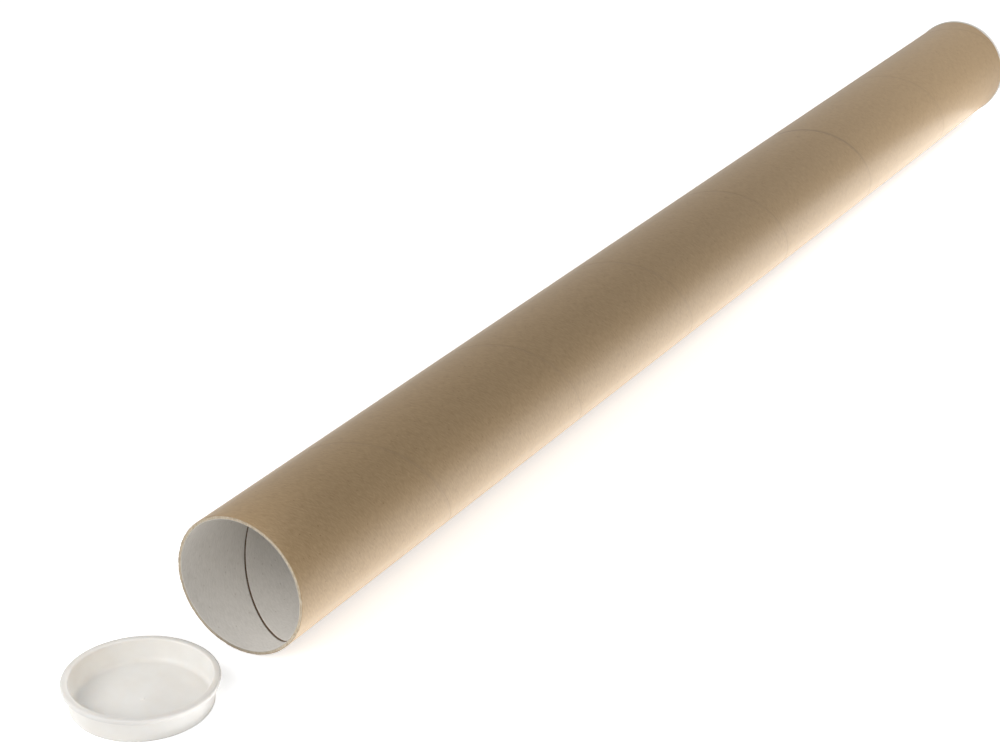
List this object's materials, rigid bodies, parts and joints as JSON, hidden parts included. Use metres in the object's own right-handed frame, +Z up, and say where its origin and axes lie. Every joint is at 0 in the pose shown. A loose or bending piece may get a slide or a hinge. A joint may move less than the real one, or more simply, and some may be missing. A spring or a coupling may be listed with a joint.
{
  "type": "cardboard mailing tube",
  "caption": "Long round mailing tube of spirally wound board, open at one end with its plug cap taken off beside it, and a plug cap in the other end.",
  "frame": {"origin": "on the ground under the middle of the box around the tube and both caps", "axes": "+X along the tube from its open end to its capped end, +Z up, +Y to the left when looking along the tube"},
  "size_m": [1.1438, 0.0962, 0.0812],
  "materials": {
    "board": "smooth brown kraft paper, grey inside",
    "loose_cap_plastic": "satin white, slightly translucent",
    "far_cap_plastic": "satin white, slightly translucent"
  },
  "bodies": {
    "tube": {"tube": "board", "near_cap": "loose_cap_plastic"},
    "far_cap": {"far_cap": "far_cap_plastic"}
  },
  "joints": [
    {"name": "far_cap_pull", "type": "slide", "parent": "tube", "child": "far_cap", "axis": [1, 0, 0], "range_m": [0, 0.02]}
  ]
}
